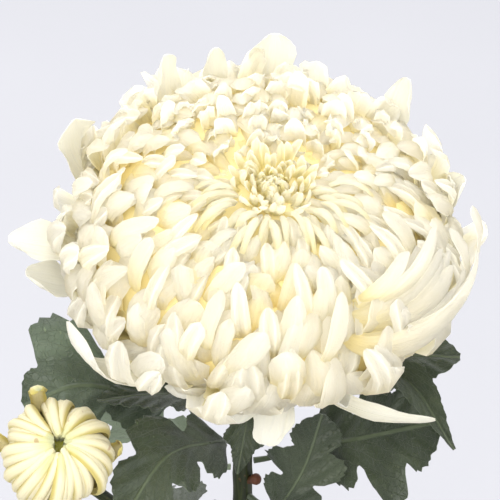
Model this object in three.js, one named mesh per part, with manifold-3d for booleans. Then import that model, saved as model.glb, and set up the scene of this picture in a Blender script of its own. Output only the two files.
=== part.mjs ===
// A single large incurved chrysanthemum with one side bud and its leaves, standing in water in a plain
// clear glass bottle vase. Millimetres, +Z up. The origin is the centre of the vase's foot, and the
// bloom leans towards -Y.
import * as THREE from "three";
import { mergeVertices } from "three/addons/utils/BufferGeometryUtils.js";
import Module from "manifold-3d";

const wasm = await Module();
wasm.setup();

// Driving dimensions
const GAP = 0.3; // clearance between pieces that touch
const VASE_HEIGHT = 200;
const VASE_FOOT_RADIUS = 40;
const VASE_BODY_RADIUS = 45;
const VASE_NECK_RADIUS = 17;
const VASE_RIM_RADIUS = 21;
const VASE_WALL = 2.6;
const VASE_FLOOR = 9;
const WATER_LEVEL = 132;
const STEM_RADIUS_FOOT = 4.2;
const STEM_RADIUS_TOP = 3.3;
const STEM_RIDGE = 1.04; // how far the stem's ridges stand out, as a share of its radius
const BLOOM_RADIUS = 69.5; // tips at the bloom's widest ring
const BLOOM_CROWN = 35; // height of the crown above the bloom's centre
const CROWN_DIMPLE = 13; // how far the middle sinks below the crown
const PETAL_COUNT = 205;
const CROWDING = 0.92; // above 1 crowds the middle, below 1 the rim
const NARROW_PETAL = 6.5;
const CORE_SHARE = 0.64; // the solid middle that the petals stand out of, as a share of the bloom
const ROOT_SHARE = 0.56;
const CORE_Z = -8;
const ROUND_POWER = 0.85; // below 1 squares the bloom's shoulders
const DIMPLE_RADIUS = 22;
const HOOD = 0.02; // how far a petal's tip nods in, as a share of the bloom
const LOWEST_TIP_ANGLE = 101; // degrees from the bloom's axis
const LIFTED_SIDE = 308; // azimuth in degrees where the lower petals sweep up
const LIFT = 0.27; // how much nearer the axis the lowest tips are there
const LIFT_SPREAD = 44;
const BLOOM_CENTRE = new THREE.Vector3(4.5, -35, 393.5);
const BLOOM_AXIS = new THREE.Vector3(0.1, -0.37, 0.92).normalize();
const CALYX_TOP = -27; // seat of the bloom on its calyx, along the bloom's axis
const CALYX_BOTTOM = -38;
const SEAT_RADIUS = 13;
const BUD_RADIUS = 18.5;
const BUD_HEIGHT = 30;
const BUD_CENTRE = new THREE.Vector3(-64, -75, 331);
const BUD_AXIS = new THREE.Vector3(0.1, -0.62, 0.78).normalize();
const BUD_PETALS = 24;
const BUD_STEM_RADIUS = 2.1;
const BUD_STEM_FROM = 252; // height on the main stem
const BUD_STEM_VIA = [
  [-20, -25, 262],
  [-42, -37, 278],
  [-57, -47, 298],
];
const BLADE = 0.8; // thickness of a leaf

const DEGREE = Math.PI / 180;
const GOLDEN_ANGLE = Math.PI * (3 - Math.sqrt(5));

// Small helpers

// A repeatable number from 0 to 1 for item i and purpose k.
function jitter(i, k) {
  const v = Math.sin(i * 12.9898 + k * 78.233) * 43758.5453;
  return v - Math.floor(v);
}

// An angle in degrees, brought to between -180 and 180.
function signedTurn(angle) {
  return angle - 360 * Math.round(angle / 360);
}

function signedPower(value, power) {
  return Math.sign(value) * Math.abs(value) ** power;
}

// A frame with its z axis along the given direction and its x axis as near +X as it can be.
function frameAlong(direction, origin) {
  const ez = direction.clone().normalize();
  const ex = new THREE.Vector3(1, 0, 0).addScaledVector(ez, -ez.x).normalize();
  const ey = new THREE.Vector3().crossVectors(ez, ex);
  return new THREE.Matrix4().makeBasis(ex, ey, ez).setPosition(origin);
}

function geometryFrom(points, triangles) {
  const position = new Float32Array(points.flatMap((p) => [p.x, p.y, p.z]));
  const geometry = new THREE.BufferGeometry();
  geometry.setAttribute("position", new THREE.BufferAttribute(position, 3));
  geometry.setIndex(triangles);
  return geometry;
}

// A closed skin over rings of equal count, from a first point to a last one.
function loft(start, rings, end) {
  const sides = rings[0].length;
  const points = [start, ...rings.flat(), end];
  const last = points.length - 1;
  const at = (ring, side) => 1 + ring * sides + (side % sides);
  const triangles = [];
  for (let k = 0; k < sides; k++) {
    triangles.push(0, at(0, k + 1), at(0, k));
    for (let r = 0; r + 1 < rings.length; r++) {
      triangles.push(at(r, k), at(r, k + 1), at(r + 1, k + 1));
      triangles.push(at(r, k), at(r + 1, k + 1), at(r + 1, k));
    }
    triangles.push(last, at(rings.length - 1, k), at(rings.length - 1, k + 1));
  }
  return geometryFrom(points, triangles);
}

function solidOf(geometry) {
  const plain = new THREE.BufferGeometry();
  plain.setAttribute("position", geometry.getAttribute("position"));
  if (geometry.index) plain.setIndex(geometry.index);
  const merged = mergeVertices(plain, 1e-4);
  return new wasm.Manifold(
    new wasm.Mesh({
      numProp: 3,
      vertProperties: merged.attributes.position.array,
      triVerts: new Uint32Array(merged.index.array),
    }),
  );
}

function geometryOf(solid) {
  const mesh = solid.getMesh();
  const geometry = new THREE.BufferGeometry();
  geometry.setAttribute(
    "position",
    new THREE.BufferAttribute(new Float32Array(mesh.vertProperties), 3),
  );
  geometry.setIndex(new THREE.BufferAttribute(new Uint32Array(mesh.triVerts), 1));
  return geometry;
}

function largest(solid) {
  return solid.decompose().sort((a, b) => b.volume() - a.volume())[0];
}

// Joins solids two by two, and keeps the largest body of what they make.
function fused(solids) {
  let rest = solids;
  while (rest.length > 1) {
    const joined = [];
    for (let i = 0; i < rest.length; i += 2)
      joined.push(i + 1 < rest.length ? rest[i].add(rest[i + 1]) : rest[i]);
    rest = joined;
  }
  return largest(rest[0]);
}

function finish(colour, roughness, extra = {}) {
  return new THREE.MeshStandardMaterial({ color: colour, roughness, metalness: 0, ...extra });
}

const part = new THREE.Group();

function addNode(name, geometry, material) {
  const mesh = new THREE.Mesh(geometry, material);
  mesh.name = name;
  part.add(mesh);
}

const petalFinish = finish(0xf7f0d8, 0.6);
const budFinish = finish(0xefe6b4, 0.55);
const leafFinish = finish(0x4d5b42, 0.55);
const stemFinish = finish(0x565f36, 0.6);
const glassFinish = finish(0xe8f0ee, 0.03, { transparent: true, opacity: 0.3 });
const waterFinish = finish(0xdfeaea, 0.03, { transparent: true, opacity: 0.3 });

// The vase: half its section, turned about Z, from the foot up the outside and down the inside

const BORE = {
  foot: VASE_FOOT_RADIUS - VASE_WALL - 2,
  body: VASE_BODY_RADIUS - VASE_WALL,
  neck: VASE_NECK_RADIUS - VASE_WALL,
};
const BODY_Z = 62; // the widest ring
const SHOULDER_Z = 112;
const NECK_Z = 158;

function vaseGeometry() {
  const section = [
    [0, 0],
    [VASE_FOOT_RADIUS - 3, 0],
    [VASE_FOOT_RADIUS, 3],
    [VASE_BODY_RADIUS, BODY_Z],
    [VASE_BODY_RADIUS - 5, SHOULDER_Z - 14],
    [VASE_BODY_RADIUS - 15, SHOULDER_Z + 8],
    [VASE_NECK_RADIUS + 3, NECK_Z - 20],
    [VASE_NECK_RADIUS, NECK_Z],
    [VASE_NECK_RADIUS + 1, VASE_HEIGHT - 12],
    [VASE_RIM_RADIUS, VASE_HEIGHT - 1.2],
    [VASE_RIM_RADIUS - 1.3, VASE_HEIGHT],
    [VASE_RIM_RADIUS - 2.5, VASE_HEIGHT - 1.2],
    [BORE.neck + 0.8, VASE_HEIGHT - 12],
    [BORE.neck, NECK_Z],
    [BORE.neck + 3, NECK_Z - 20],
    [BORE.body - 14.6, SHOULDER_Z + 7],
    [BORE.body - 5, SHOULDER_Z - 14],
    [BORE.body, BODY_Z],
    [BORE.foot + 2, VASE_FLOOR + 5],
    [BORE.foot - 3, VASE_FLOOR],
    [0, VASE_FLOOR],
  ];
  return new THREE.LatheGeometry(
    section.map(([r, z]) => new THREE.Vector2(r, z)),
    32,
  ).rotateX(Math.PI / 2);
}

function waterGeometry() {
  const surfaceRadius = BORE.neck + 5.8;
  const section = [
    [0, VASE_FLOOR + GAP],
    [BORE.foot - 3.3, VASE_FLOOR + GAP],
    [BORE.foot + 1.6, VASE_FLOOR + 5.2],
    [BORE.body - 0.5, BODY_Z],
    [BORE.body - 5.5, SHOULDER_Z - 14],
    [BORE.body - 15.3, SHOULDER_Z + 7],
    [surfaceRadius, WATER_LEVEL],
    [0, WATER_LEVEL],
  ];
  return new THREE.LatheGeometry(
    section.map(([r, z]) => new THREE.Vector2(r, z)),
    32,
  ).rotateX(Math.PI / 2);
}

// The stem: a five-ribbed shoot from the vase's floor to the calyx

const stemTop = BLOOM_CENTRE.clone().addScaledVector(BLOOM_AXIS, CALYX_BOTTOM - GAP);
const stemRoute = new THREE.CatmullRomCurve3(
  [
    new THREE.Vector3(5, 15, VASE_FLOOR - 2),
    new THREE.Vector3(4, 7, 70),
    new THREE.Vector3(1, -4, 135),
    new THREE.Vector3(-1.5, -10.7, 186),
    new THREE.Vector3(-3, -12.8, 240),
    new THREE.Vector3(-3.5, -12.6, 290),
    new THREE.Vector3(-2.6, -14, 325),
    stemTop,
  ],
  false,
  "centripetal",
);

// Where the stem is at a height, by halving.
function stemAt(height) {
  let low = 0;
  let high = 1;
  for (let n = 0; n < 30; n++) {
    const middle = (low + high) / 2;
    if (stemRoute.getPointAt(middle).z < height) low = middle;
    else high = middle;
  }
  return stemRoute.getPointAt(low);
}

function stemRadius(height) {
  const share = height / stemTop.z;
  return STEM_RADIUS_FOOT + (STEM_RADIUS_TOP - STEM_RADIUS_FOOT) * share;
}

// A ribbed tube along a curve, whose radius runs from one end's value to the other's.
function ribbedTube(curve, steps, sides, radiusAt, rib = STEM_RIDGE - 1, ribs = 5) {
  const rings = [];
  let side = new THREE.Vector3(1, 0, 0);
  for (let i = 0; i <= steps; i++) {
    const u = i / steps;
    const centre = curve.getPointAt(u);
    const along = curve.getTangentAt(u);
    side = side.clone().addScaledVector(along, -side.dot(along)).normalize();
    const other = new THREE.Vector3().crossVectors(along, side);
    const ring = [];
    for (let k = 0; k < sides; k++) {
      const angle = (k / sides) * 2 * Math.PI;
      const radius = radiusAt(u) * (1 + rib * Math.cos(ribs * angle));
      ring.push(
        centre
          .clone()
          .addScaledVector(side, radius * Math.cos(angle))
          .addScaledVector(other, radius * Math.sin(angle)),
      );
    }
    rings.push(ring);
  }
  return loft(curve.getPointAt(0), rings, curve.getPointAt(1));
}

const STUB_HEIGHT = 276; // where a side shoot was pinched off
const stubRoute = new THREE.LineCurve3(
  stemAt(STUB_HEIGHT),
  stemAt(STUB_HEIGHT).add(new THREE.Vector3(6, -5, 4)),
);

function stemSolid() {
  const swell = (u) => 1.6 * Math.exp(-(((1 - u) / 0.03) ** 2));
  const shoot = ribbedTube(
    stemRoute,
    26,
    10,
    (u) => STEM_RADIUS_FOOT + (STEM_RADIUS_TOP - STEM_RADIUS_FOOT) * u + swell(u),
  );
  const stub = ribbedTube(stubRoute, 2, 6, (u) => 2 - 0.7 * u, 0);
  const seat = BLOOM_CENTRE.clone().addScaledVector(BLOOM_AXIS, CALYX_TOP - GAP);
  const calyx = calyxGeometry(15, CALYX_TOP - CALYX_BOTTOM, 9).applyMatrix4(frameAlong(BLOOM_AXIS, seat));
  const whole = fused([solidOf(shoot), solidOf(stub), solidOf(calyx)]);
  return whole.trimByPlane([0, 0, 1], VASE_FLOOR + GAP);
}

// The bud's own stem, from just off the main one to a small calyx under the bud
const BUD_CALYX_RADIUS = 8;
const BUD_CALYX_DEPTH = 6;
const budSeat = BUD_CENTRE.clone().addScaledVector(BUD_AXIS, BUD_HEIGHT * -0.5 - GAP);

function budStemSolid() {
  const start = stemAt(BUD_STEM_FROM);
  start.x -= stemRadius(BUD_STEM_FROM) * STEM_RIDGE + GAP + 0.2;
  const shoulder = start.clone().add(new THREE.Vector3(-4, 0, 0.8));
  const end = budSeat.clone().addScaledVector(BUD_AXIS, -BUD_CALYX_DEPTH * 0.6);
  const route = new THREE.CatmullRomCurve3(
    [start, shoulder, ...BUD_STEM_VIA.map((p) => new THREE.Vector3(...p)), end],
    false,
    "centripetal",
  );
  const shoot = ribbedTube(route, 12, 6, (u) => BUD_STEM_RADIUS * (1.1 - 0.15 * u), 0);
  const calyx = calyxGeometry(BUD_CALYX_RADIUS, BUD_CALYX_DEPTH, 7);
  return fused([solidOf(shoot), solidOf(calyx.applyMatrix4(frameAlong(BUD_AXIS, budSeat)))]);
}

// Water with a plain hole for the stem
function waterSolid() {
  const hole = ribbedTube(stemRoute, 26, 10, () => STEM_RADIUS_FOOT * STEM_RIDGE + GAP, 0);
  return solidOf(waterGeometry()).subtract(solidOf(hole));
}

// The calyx and the bud's calyx: a cup with rows of pointed green bracts

function calyxGeometry(cupRadius, depth, bracts) {
  const profile = [
    [0, -depth],
    [cupRadius * 0.35, -depth],
    [cupRadius * 0.85, -depth * 0.5],
    [cupRadius, 0],
    [0, 0],
  ];
  const cup = new THREE.LatheGeometry(
    profile.map(([r, z]) => new THREE.Vector2(r, z)),
    14,
  ).rotateX(Math.PI / 2);
  const solids = [solidOf(cup)];
  const up = new THREE.Vector3(0, 0, 1);
  for (let i = 0; i < bracts; i++) {
    const angle = (i / bracts) * 2 * Math.PI;
    const out = new THREE.Vector3(Math.cos(angle), Math.sin(angle), 0);
    const side = new THREE.Vector3(-out.y, out.x, 0);
    const spot = (r, z) => out.clone().multiplyScalar(r * cupRadius).addScaledVector(up, z * depth);
    const half = (cupRadius * 2.4) / bracts;
    const middle = spot(0.98, -0.5);
    const ring = [
      middle.clone().addScaledVector(side, -half),
      middle.clone().addScaledVector(out, 0.7),
      middle.clone().addScaledVector(side, half),
    ];
    solids.push(solidOf(loft(spot(0.4, -0.9), [ring], spot(1.22, -0.06))));
  }
  return geometryOf(fused(solids));
}

// The bloom, in its own frame: z along its axis from the middle of its widest ring

// The bloom's round at an angle from its axis, as radius and height. A share below 1 gives the same
// form further in.
function bloomRound(polar, share) {
  const sine = signedPower(Math.sin(polar * DEGREE), ROUND_POWER);
  const cosine = signedPower(Math.cos(polar * DEGREE), ROUND_POWER);
  const radius = BLOOM_RADIUS * sine * share;
  const dimple = CROWN_DIMPLE * Math.exp(-((radius / DIMPLE_RADIUS) ** 2));
  const height = CORE_Z + (BLOOM_CROWN - CORE_Z) * Math.max(cosine, 0) * share;
  const low = (-CALYX_TOP + CORE_Z) * Math.max(-cosine, 0) * share;
  return new THREE.Vector2(radius, height - low - dimple * (polar < 90 ? 1 : 0));
}

// A petal's line in the half-plane of its azimuth: it climbs out of the core along the bloom's round.
function climbingLine(petal) {
  return (v) => {
    const share = ROOT_SHARE + (petal.reach - ROOT_SHARE) * v ** petal.rise - HOOD * v ** 6;
    return bloomRound(petal.tipPolar + petal.climb * (1 - v), share);
  };
}

// A loose petal's line: a cubic curve from the receptacle to its tip.
function looseLine(petal) {
  const base = new THREE.Vector2(petal.baseRadius, petal.baseHeight);
  const tip = new THREE.Vector2(petal.tipRadius, petal.tipHeight);
  const span = base.distanceTo(tip);
  const heading = (angle) => new THREE.Vector2(Math.cos(angle * DEGREE), Math.sin(angle * DEGREE));
  const curve = new THREE.CubicBezierCurve(
    base,
    base.clone().addScaledVector(heading(petal.baseAngle), span * 0.45),
    tip.clone().addScaledVector(heading(petal.tipAngle), -span * 0.4),
    tip,
  );
  return (v) => curve.getPoint(v);
}

// Half the petal's width at v, from a narrow root to a round tip.
function petalHalfWidth(petal, v) {
  const grow = THREE.MathUtils.smoothstep(v, 0, 0.7);
  const close = v > 0.86 ? Math.sqrt(Math.max(0, 1 - ((v - 0.86) / 0.14) ** 2)) : 1;
  return (petal.width / 2) * (0.35 + 0.65 * grow) * close;
}

// Where the petal is at v, with its outward normal and its sideways direction.
function petalFrame(petal, line, v) {
  const p = line(v);
  const t = line(Math.min(v + 0.02, 1)).sub(line(Math.min(v, 0.98))).normalize();
  const turn = (petal.azimuth + petal.sweep * v * v) * DEGREE;
  const out = new THREE.Vector3(Math.cos(turn), Math.sin(turn), 0);
  const up = new THREE.Vector3(0, 0, 1);
  const along = out.clone().multiplyScalar(t.x).addScaledVector(up, t.y);
  const across = new THREE.Vector3(-out.y, out.x, 0).applyAxisAngle(along, petal.twist * v * DEGREE);
  const outward = new THREE.Vector3().crossVectors(across, along).normalize();
  return { point: out.multiplyScalar(p.x).addScaledVector(up, p.y), across, outward };
}

// One petal as a blade over the given places along its line: a point, rings, and a point. A narrow one
// has three-cornered rings and a broad one is channelled, with four corners.
function petalSolid(petal, line, stations) {
  const rings = stations.slice(1, -1).map((v) => {
    const { point, across, outward } = petalFrame(petal, line, v);
    const half = petalHalfWidth(petal, v);
    const curl = half * petal.cup * 2;
    const thick = Math.max(0.4, Math.min(1, half * 0.28));
    const ring = [
      point.clone().addScaledVector(across, -half).addScaledVector(outward, -curl),
      point.clone().addScaledVector(outward, thick),
      point.clone().addScaledVector(across, half).addScaledVector(outward, -curl),
    ];
    if (petal.width > NARROW_PETAL) ring.push(point.clone().addScaledVector(outward, -thick));
    return ring;
  });
  const start = petalFrame(petal, line, stations[0]).point;
  const last = petalFrame(petal, line, stations.at(-1));
  const end = last.point.addScaledVector(last.outward, -petal.width * petal.cup * 0.5);
  return solidOf(loft(start, rings, end));
}

// The bloom's regular petals, spiralling outwards by the golden angle.
function spiralPetal(i) {
  const share = (i + 0.5) / PETAL_COUNT;
  const azimuth = ((i * GOLDEN_ANGLE) / DEGREE + (jitter(i, 2) - 0.5) * 14) % 360;
  const lift = LIFT * Math.exp(-((signedTurn(azimuth - LIFTED_SIDE) / LIFT_SPREAD) ** 2));
  const polar = LOWEST_TIP_ANGLE * (1 - lift) * share ** CROWDING;
  const loose = 0.35 + 0.65 * share;
  return {
    azimuth,
    tipPolar: polar + (jitter(i, 3) - 0.5) * 8 * share,
    climb: 13 + 20 * share,
    rise: 0.95 - 0.45 * share ** 2, // below 1 runs along the round before the tip stands off
    reach: 1.02 + (jitter(i, 1) - 0.5) * 0.16 * loose,
    width: (2.8 + 7.6 * (polar / 90) ** 0.9) * (0.85 + 0.3 * jitter(i, 5)),
    cup: 0.34,
    sweep: (jitter(i, 6) - 0.4) * 10,
    twist: (jitter(i, 7) - 0.5) * 50 * share,
  };
}

// Petals that have come loose from the round of the bloom, each by hand.
const LOOSE_PETALS = [
  { azimuth: 184, tipRadius: 85, tipHeight: -6, tipAngle: 10, width: 16 },
  { azimuth: 192, tipRadius: 80, tipHeight: -10, tipAngle: 40, width: 15 },
  { azimuth: 159, tipRadius: 71, tipHeight: 20, tipAngle: 106, width: 15 },
  { azimuth: 90, tipRadius: 62, tipHeight: 32, tipAngle: 88, width: 15 },
  { azimuth: 108, tipRadius: 56, tipHeight: 29, tipAngle: 95, width: 8 },
  { azimuth: 126, tipRadius: 60, tipHeight: 30, tipAngle: 92, width: 10 },
  { azimuth: 45, tipRadius: 64, tipHeight: 30, tipAngle: 88, width: 11 },
  { azimuth: 14, tipRadius: 68, tipHeight: 14, tipAngle: 76, width: 13 },
  { azimuth: 339, tipRadius: 69, tipHeight: 3, tipAngle: 85, width: 10, baseAngle: -22 },
  { azimuth: 235, tipRadius: 70, tipHeight: -9, tipAngle: 100, width: 10, baseAngle: -22, sweep: -28 },
  { azimuth: 317, tipRadius: 75, tipHeight: -38, tipAngle: -15, width: 9, baseAngle: -20 },
  { azimuth: 309, tipRadius: 60, tipHeight: -24, tipAngle: 35, width: 9, baseAngle: -28 },
  { azimuth: 277, tipRadius: 47, tipHeight: -43, tipAngle: -65, width: 12, baseAngle: -15 },
  { azimuth: 262, tipRadius: 60, tipHeight: -25, tipAngle: -40, width: 18, baseAngle: 0 },
  { azimuth: 243, tipRadius: 59, tipHeight: -17, tipAngle: 105, width: 12, baseAngle: -20 },
].map((petal) => ({ baseRadius: 10, baseHeight: -20, baseAngle: -5, cup: 0.16, sweep: 0, twist: 0, ...petal }));

const NARROW_STATIONS = [0, 0.4, 0.88, 1];
const BROAD_STATIONS = [0, 0.38, 0.72, 0.93, 1];
const LOOSE_STATIONS = [0.25, 0.48, 0.72, 0.88, 0.965, 1];

// The solid middle: the bloom's round at a smaller share, turned about its axis.
function coreGeometry() {
  const section = [new THREE.Vector2(0, CALYX_TOP), new THREE.Vector2(SEAT_RADIUS, CALYX_TOP)];
  for (let polar = 140; polar > 5; polar -= 20) section.push(bloomRound(polar, CORE_SHARE));
  section.push(new THREE.Vector2(0, bloomRound(0, CORE_SHARE).y));
  return new THREE.LatheGeometry(section, 18).rotateX(Math.PI / 2);
}

function bloomSolid() {
  const solids = [solidOf(coreGeometry())];
  for (let i = 0; i < PETAL_COUNT; i++) {
    const petal = spiralPetal(i);
    const stations = petal.width > NARROW_PETAL ? BROAD_STATIONS : NARROW_STATIONS;
    solids.push(petalSolid(petal, climbingLine(petal), stations));
  }
  for (const petal of LOOSE_PETALS) solids.push(petalSolid(petal, looseLine(petal), LOOSE_STATIONS));
  const below = new THREE.BoxGeometry(60, 60, 20).translate(0, 0, CALYX_TOP - 10);
  return largest(fused(solids).subtract(solidOf(below)));
}

// The bud, in its own frame: closed petals as ribs that arch from the calyx over to a small open middle

// Each row is a radius and a height as shares of the bud's, and how deep the grooves are there.
const BUD_ROUND = [
  [0.34, -0.5, 0.02],
  [0.7, -0.4, 0.06],
  [0.96, -0.12, 0.1],
  [0.98, 0.12, 0.11],
  [0.8, 0.34, 0.12],
  [0.5, 0.46, 0.1],
  [0.28, 0.44, 0.05],
  [0.17, 0.3, 0.02],
];
const BUD_SWIRL = 16; // degrees that a rib winds from foot to tip

function ribbedBud() {
  const rings = BUD_ROUND.map(([reach, rise, groove], row) => {
    const ring = [];
    for (let i = 0; i < BUD_PETALS; i++)
      for (const [place, depth] of [
        [0, 1],
        [0.55, 0],
      ]) {
        const along = row / (BUD_ROUND.length - 1);
        const uneven = (jitter(i, 12) - 0.5) * 0.05;
        const turn = ((i + place) / BUD_PETALS) * 2 * Math.PI + BUD_SWIRL * along * DEGREE;
        const radius = BUD_RADIUS * (reach - depth * groove + uneven * reach * (1 - depth));
        const height = BUD_HEIGHT * (rise + (1 - depth) * groove * (rise > 0.2 ? 0.5 : 0));
        ring.push(new THREE.Vector3(radius * Math.cos(turn), radius * Math.sin(turn), height));
      }
    return ring;
  });
  const foot = new THREE.Vector3(0, 0, BUD_HEIGHT * BUD_ROUND[0][1]);
  const pit = new THREE.Vector3(0, 0, BUD_HEIGHT * BUD_ROUND.at(-1)[1]);
  return loft(foot, rings, pit);
}

// Petals of the bud that stand off it: a curled one above, one on each side.
const BUD_LOOSE = [
  { azimuth: 112, tipRadius: 19, tipHeight: 14, tipAngle: 150, width: 6.5 },
  { azimuth: 168, tipRadius: 25, tipHeight: 6, tipAngle: 78, width: 6 },
  { azimuth: 8, tipRadius: 21, tipHeight: 3, tipAngle: 105, width: 7 },
].map((petal) => ({ baseRadius: 4, baseHeight: -10, baseAngle: 0, cup: 0.25, sweep: 0, twist: 0, ...petal }));

function budSolid() {
  const solids = [solidOf(ribbedBud())];
  for (const petal of BUD_LOOSE) {
    solids.push(petalSolid(petal, looseLine(petal), LOOSE_STATIONS));
  }
  return fused(solids);
}

// Leaves: a stalk from just off the stem, and a lobed, toothed blade that arches with its midrib.
// Each row of an outline is a place along the blade and the half width there.
const LOBED = [
  [0, 0.1],
  [0.09, 0.22],
  [0.15, 0.6],
  [0.25, 0.74],
  [0.32, 0.62],
  [0.38, 0.28],
  [0.45, 0.84],
  [0.53, 1],
  [0.61, 0.9],
  [0.66, 0.4],
  [0.74, 0.66],
  [0.84, 0.56],
  [0.93, 0.34],
  [1, 0.08],
];
const BROAD_END = [
  [0, 0.1],
  [0.12, 0.2],
  [0.24, 0.5],
  [0.34, 0.58],
  [0.42, 0.44],
  [0.48, 0.34],
  [0.56, 0.8],
  [0.66, 1],
  [0.74, 0.94],
  [0.8, 0.36],
  [0.86, 0.4],
  [0.93, 0.3],
  [1, 0.08],
];
const NARROW = [
  [0, 0.1],
  [0.16, 0.5],
  [0.26, 0.44],
  [0.38, 0.9],
  [0.48, 0.7],
  [0.6, 1],
  [0.7, 0.56],
  [0.84, 0.42],
  [1, 0.06],
];
const ARCHED = [
  [0, 0.1],
  [0.14, 0.5],
  [0.26, 0.8],
  [0.4, 1],
  [0.52, 0.86],
  [0.64, 0.6],
  [0.76, 0.4],
  [0.88, 0.22],
  [1, 0.06],
];
const LOBE_SWEEP = 0.16; // how far a lobe's tip leans forward, as a share of its half width

// A leaf is given by its midrib, its half width, the way its upper side faces and how far it folds up.
const LEAVES = [
  {
    name: "leaf_left_high",
    from: 317, // height on the stem
    midrib: [[-39, -29, 325], [-61, -38, 334], [-78, -46, 331]],
    width: 27,
    face: [0, -0.55, 0.8],
    fold: 8,
    outline: BROAD_END,
  },
  {
    name: "leaf_left_pale",
    from: 282, // height on the stem
    midrib: [[-18, -14, 289], [-37, -14, 301], [-58, -14, 314]],
    width: 19,
    face: [0.1, 0.9, 0.3],
    fold: 6,
    outline: LOBED,
  },
  {
    name: "leaf_left_dark",
    from: 311, // height on the stem
    midrib: [[-20, -28, 323], [-35, -37, 330], [-53, -44, 332]],
    width: 12,
    face: [0, -0.2, 0.97],
    fold: 14,
    outline: NARROW,
  },
  {
    name: "leaf_front",
    from: 299, // height on the stem
    midrib: [[-13, -43, 314], [-29, -65, 323], [-43, -86, 312]],
    width: 17,
    face: [0.2, -0.6, 0.75],
    fold: 8,
    outline: LOBED,
  },
  {
    name: "leaf_front_hanging",
    from: 322, // height on the stem
    midrib: [[-1, -36, 325], [-5, -51, 306]],
    width: 8,
    face: [0.1, -0.9, 0.4],
    fold: 20,
    outline: NARROW,
  },
  {
    name: "leaf_right_high",
    from: 305, // height on the stem
    midrib: [[20, -16, 320], [50, -18, 333], [73, -21, 335]],
    width: 16,
    face: [0, -0.4, 0.9],
    fold: 8,
    outline: LOBED,
  },
  {
    name: "leaf_right_curled",
    from: 311, // height on the stem
    midrib: [[22, -25, 325], [51, -35, 336], [69, -56, 320]],
    width: 12,
    face: [-0.1, -0.3, 0.9],
    fold: 32,
    outline: ARCHED,
  },
  {
    name: "leaf_right_large",
    from: 284, // height on the stem
    midrib: [[16, -9, 287], [38, -18, 298], [67, -30, 314]],
    width: 26,
    face: [-0.2, -0.75, 0.6],
    fold: 6,
    outline: LOBED,
  },
  {
    name: "leaf_right_upright",
    from: 271, // height on the stem
    midrib: [[9, -29, 276], [18, -29, 291], [25, -25, 313]],
    width: 16,
    face: [0.2, -0.9, 0.3],
    fold: 8,
    outline: LOBED,
  },
  {
    name: "leaf_low_left",
    from: 250, // height on the stem
    midrib: [[-14, -37, 256], [-38, -55, 256], [-60, -68, 243]],
    width: 21,
    face: [-0.1, -0.2, 0.95],
    fold: 8,
    outline: LOBED,
  },
  {
    name: "leaf_low_right",
    from: 250, // height on the stem
    midrib: [[16, -33, 262], [42, -45, 266], [66, -55, 252]],
    width: 20,
    face: [0.1, -0.2, 0.95],
    fold: 8,
    outline: LOBED,
  },
  {
    name: "leaf_low_back",
    from: 228, // height on the stem
    midrib: [[-12, -5, 238], [-30, 19, 242], [-46, 39, 230]],
    width: 19,
    face: [-0.1, 0.2, 0.95],
    fold: 8,
    outline: LOBED,
  },
  {
    name: "leaf_back_right",
    from: 254, // height on the stem
    midrib: [[12, 0, 263], [31, 17, 266], [52, 33, 257]],
    width: 19,
    face: [0.1, 0.25, 0.95],
    fold: 8,
    outline: LOBED,
  },
];

const BLADE_START = 0.24; // share of the leaf's line that is stalk
const STALK_RADIUS = 1.2;
const STALK_END = 0.4; // where the stalk has run out into the midrib

function vector([x, y, z]) {
  return new THREE.Vector3(x, y, z);
}

// Triangles of a grid of rows on two faces, and of its rim, split alike on both faces.
function bladeGeometry(rows, thickness) {
  const across = rows[0].points.length;
  const points = [];
  for (const face of [1, -1])
    for (const { points: row, normal } of rows)
      for (const p of row) points.push(p.clone().addScaledVector(normal, (face * thickness) / 2));
  const under = rows.length * across;
  const triangles = [];
  const quad = (a, b, c, d) => triangles.push(a, b, c, a, c, d);
  for (let r = 0; r + 1 < rows.length; r++)
    for (let k = 0; k + 1 < across; k++) {
      const a = r * across + k;
      const b = a + 1;
      const c = b + across;
      const d = a + across;
      quad(a, b, c, d);
      triangles.push(under + a, under + c, under + b, under + a, under + d, under + c);
    }
  const rim = [];
  for (let k = 0; k < across; k++) rim.push(k);
  for (let r = 1; r < rows.length; r++) rim.push(r * across + across - 1);
  for (let k = across - 2; k >= 0; k--) rim.push((rows.length - 1) * across + k);
  for (let r = rows.length - 2; r > 0; r--) rim.push(r * across);
  rim.forEach((a, i) => {
    const b = rim[(i + 1) % rim.length];
    quad(b, a, under + a, under + b);
  });
  return geometryFrom(points, triangles);
}

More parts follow.
